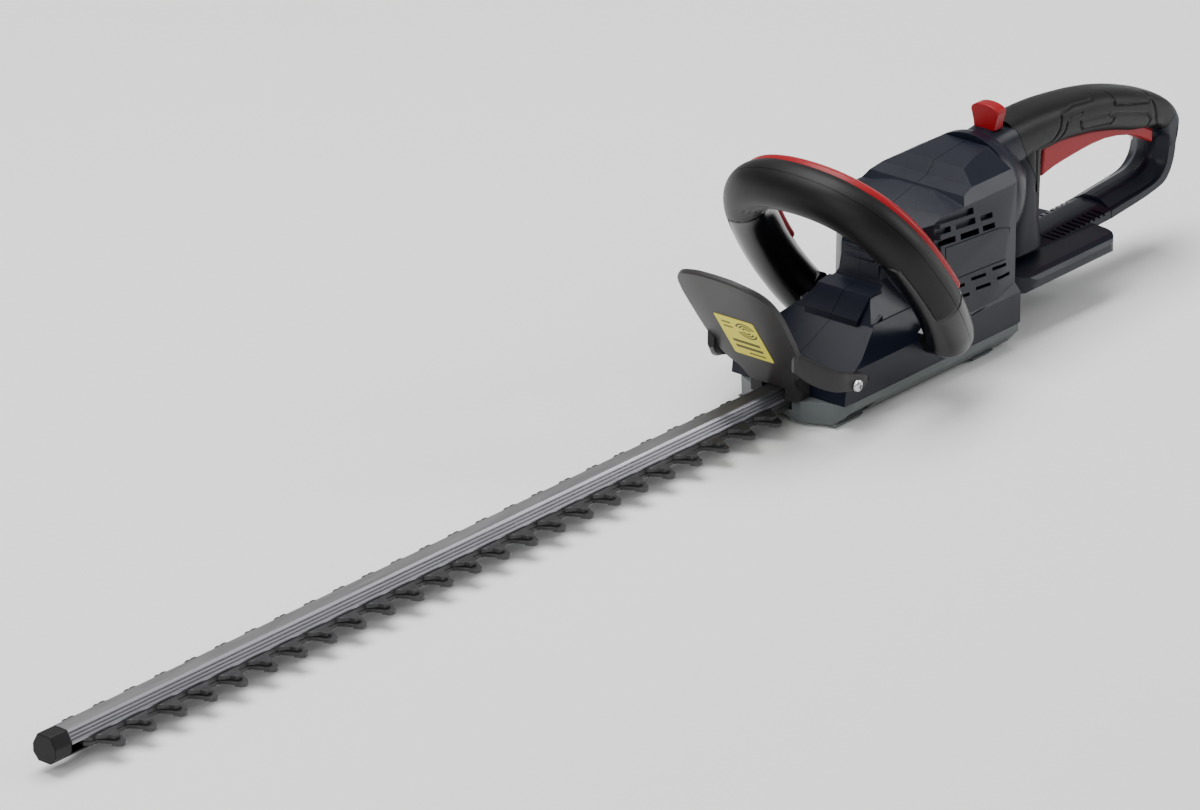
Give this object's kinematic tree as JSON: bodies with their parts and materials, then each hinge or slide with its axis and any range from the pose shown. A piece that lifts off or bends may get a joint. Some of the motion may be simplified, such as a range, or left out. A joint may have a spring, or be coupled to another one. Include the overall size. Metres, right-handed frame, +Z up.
{
  "type": "hedge trimmer",
  "caption": "Cordless hedge trimmer with a dual-action toothed blade, forward guard, loop front handle with switch bar and a swivelling D-shaped rear handle.",
  "frame": {"origin": "bottom centre of the whole tool's box: on the surface it rests on, under the middle of its length", "axes": "+X from the blade tip to the rear handle, +Y to the user's right when held, +Z up"},
  "size_m": [0.9046, 0.138, 0.1387],
  "materials": {
    "steel": "ground and darkened blade steel",
    "bright": "bright zinc-plated steel",
    "zinc": "plain machined or plated steel",
    "magnet": "sintered ferrite",
    "aluminium": "extruded aluminium, satin",
    "grey": "moulded grey nylon",
    "navy": "moulded dark blue-black nylon, satin",
    "guard": "smooth dark grey moulding",
    "black": "black moulding",
    "rubber": "soft overmoulded grip",
    "red": "deep red moulding, satin",
    "yellow": "printed sticker",
    "copper": "wound copper on a laminated core",
    "brass": "plated contact",
    "board": "circuit board"
  },
  "bodies": {
    "housing": {"guide_bar": "aluminium", "end_cap": "black", "gearcase_base": "grey", "motor_housing_left": "navy", "motor_housing_right": "navy", "crank_bearing_lower": "bright", "crank_bearing_upper": "bright", "gear_plate": "aluminium", "bar_clamp": "zinc", "motor_can": "zinc", "motor_endbell": "black", "motor_magnet_left": "magnet", "motor_magnet_right": "magnet", "guard_label": "yellow", "blade_guard": "guard", "guard_screw_left": "bright", "guard_screw_right": "bright", "loop_front_shell": "rubber", "loop_rear_shell": "rubber", "loop_microswitch": "black", "blade_bolt_1": "bright", "blade_nut_1": "bright", "blade_bolt_2": "bright", "blade_nut_2": "bright", "blade_bolt_3": "bright", "blade_nut_3": "bright", "blade_bolt_4": "bright", "blade_nut_4": "bright", "blade_bolt_5": "bright", "blade_nut_5": "bright", "blade_bolt_6": "bright", "blade_nut_6": "bright"},
    "upper_blade": {"blade_upper": "steel"},
    "lower_blade": {"blade_lower": "steel"},
    "crank": {"crank_gear": "zinc", "crank_shaft": "bright", "eccentric_upper": "steel", "eccentric_lower": "steel"},
    "rotor": {"motor_rotor": "copper", "motor_pinion": "bright", "cooling_fan": "black"},
    "front_switch": {"loop_switch_bar": "red"},
    "rear_handle": {"swivel_collar": "black", "rear_handle_left": "navy", "rear_handle_right": "navy", "handle_grip": "rubber", "handle_screw_1": "bright", "handle_screw_2": "bright", "handle_screw_3": "bright", "battery_dock": "navy", "terminal_block": "black", "terminal_left": "brass", "terminal_right": "brass", "control_board": "board", "rear_switch": "black"},
    "trigger": {"trigger": "red"},
    "lock_button": {"lock_button": "red"}
  },
  "joints": [
    {"name": "upper_blade_slide", "type": "slide", "parent": "housing", "child": "upper_blade", "axis": [1, 0, 0], "range_m": [-0.006, 0.006]},
    {"name": "lower_blade_slide", "type": "slide", "parent": "housing", "child": "lower_blade", "axis": [1, 0, 0], "range_m": [-0.006, 0.006]},
    {"name": "crank_spin", "type": "hinge", "parent": "housing", "child": "crank", "pos_m": [0.18475, 0, 0.02], "axis": [0, 0, 1], "continuous": true},
    {"name": "rotor_spin", "type": "hinge", "parent": "housing", "child": "rotor", "pos_m": [0.2185, 0, 0.05], "axis": [0, 0, 1], "continuous": true},
    {"name": "front_switch_press", "type": "slide", "parent": "housing", "child": "front_switch", "axis": [-0.8111, 0, -0.585], "range_m": [0, 0.003], "stiffness_N_per_m": 800, "springref_m": -0.004},
    {"name": "handle_swivel", "type": "hinge", "parent": "housing", "child": "rear_handle", "pos_m": [0.27325, 0, 0.08], "axis": [1, 0, 0], "range_deg": [-90, 90]},
    {"name": "trigger_press", "type": "hinge", "parent": "rear_handle", "child": "trigger", "pos_m": [0.43025, 0, 0.0685], "axis": [0, 1, 0], "range_deg": [0, 4], "stiffness_Nm_per_rad": 3, "springref_deg": -5.73},
    {"name": "lock_button_slide", "type": "slide", "parent": "rear_handle", "child": "lock_button", "axis": [1, 0, 0], "range_m": [0, 0.004], "stiffness_N_per_m": 500, "springref_m": -0.004}
  ],
  "couplings": [
    {"joint": "lower_blade_slide", "follows": "upper_blade_slide", "ratio": -1},
    {"joint": "rotor_spin", "follows": "crank_spin", "ratio": -5}
  ]
}
